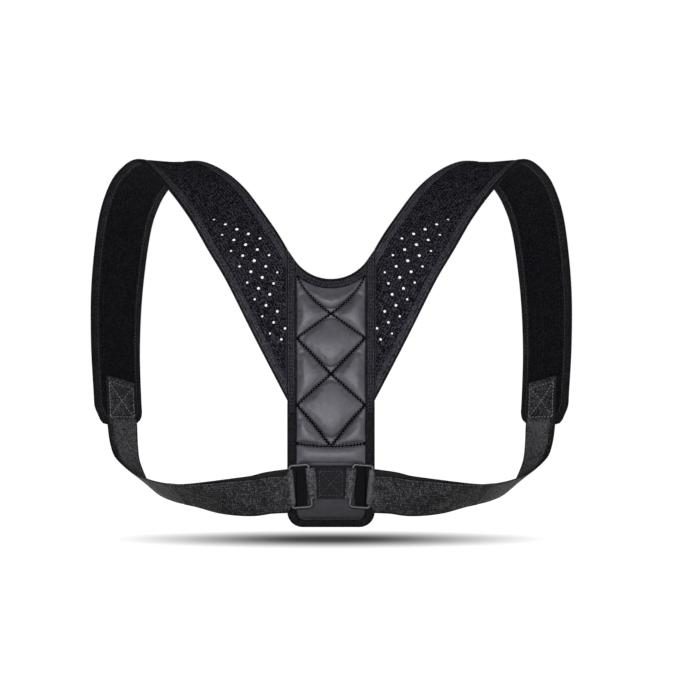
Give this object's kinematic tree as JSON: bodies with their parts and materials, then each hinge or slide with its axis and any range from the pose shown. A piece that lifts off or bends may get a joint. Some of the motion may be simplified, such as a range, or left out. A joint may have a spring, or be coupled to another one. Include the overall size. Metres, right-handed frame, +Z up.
{
  "type": "posture corrector",
  "caption": "Back brace: quilted back panel with padded arms over the shoulders, and webbing straps that pass under the arms to rings on the panel, in its worn shape.",
  "frame": {"origin": "body side of the back panel, on its middle line, level with the lower end of the arm seams", "axes": "seen from behind the wearer: +X to the right, +Y towards the wearer's chest, +Z up"},
  "size_m": [0.5244, 0.1567, 0.3875],
  "materials": {
    "knitted_mesh": "matte black knitted spacer mesh with a fine rib",
    "leatherette": "satin black leatherette, quilted over foam",
    "edge_tape": "ribbed black binding tape, stitched",
    "ribbed_tape": "ribbed black tape with two rows of stitches",
    "webbing": "black woven webbing with a fine twill",
    "ring_plastic": "polished black"
  },
  "bodies": {
    "root": {"back_panel": "knitted_mesh", "quilted_pad": "leatherette", "neck_binding": "edge_tape", "tab_binding": "edge_tape", "ring_holder": "webbing", "left_seam_strip": "ribbed_tape", "left_arm": "knitted_mesh", "left_arm_binding": "edge_tape", "left_strap": "webbing", "left_ring": "ring_plastic", "right_seam_strip": "ribbed_tape", "right_arm": "knitted_mesh", "right_arm_binding": "edge_tape", "right_strap": "webbing", "right_ring": "ring_plastic"}
  },
  "joints": []
}
